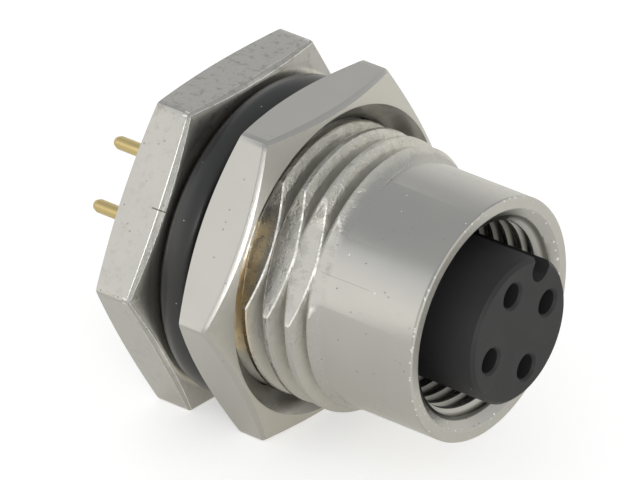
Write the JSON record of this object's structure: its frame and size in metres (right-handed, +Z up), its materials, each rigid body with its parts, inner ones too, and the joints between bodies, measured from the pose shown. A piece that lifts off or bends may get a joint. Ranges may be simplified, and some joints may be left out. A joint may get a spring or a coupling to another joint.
{
  "type": "circular panel connector",
  "caption": "Round metal panel connector with hexagonal flange, outside thread, thin hex nut, black seal, screw-coupling mouth and a black insert with sockets.",
  "frame": {"origin": "centre of the flange's panel face, on the connector's axis", "axes": "+X along the axis from the flange to the mouth, +Z up, square to the top flat of the hexagons; the connector lies on the opposite flat"},
  "size_m": [0.0278, 0.022, 0.019],
  "materials": {
    "nickel_shell": "satin nickel plating on turned brass",
    "nickel_nut": "satin nickel plating on turned brass",
    "seal_rubber": "satin black rubber",
    "inner_seal_rubber": "satin brown rubber",
    "insert_plastic": "matt black glass-filled plastic",
    "potting_resin": "glossy black casting resin",
    "gold_contact": "thin gold plating on turned brass"
  },
  "bodies": {
    "housing": {"shell": "nickel_shell", "panel_seal": "seal_rubber", "contact_carrier": "insert_plastic", "carrier_seal": "inner_seal_rubber", "rear_retainer": "insert_plastic", "potting": "potting_resin", "contact_1": "gold_contact", "contact_2": "gold_contact", "contact_3": "gold_contact", "contact_4": "gold_contact"},
    "nut": {"hex_nut": "nickel_nut"}
  },
  "joints": [
    {"name": "nut_travel", "type": "slide", "parent": "housing", "child": "nut", "axis": [1, 0, 0], "range_m": [-0.0007, 0.0051]}
  ]
}
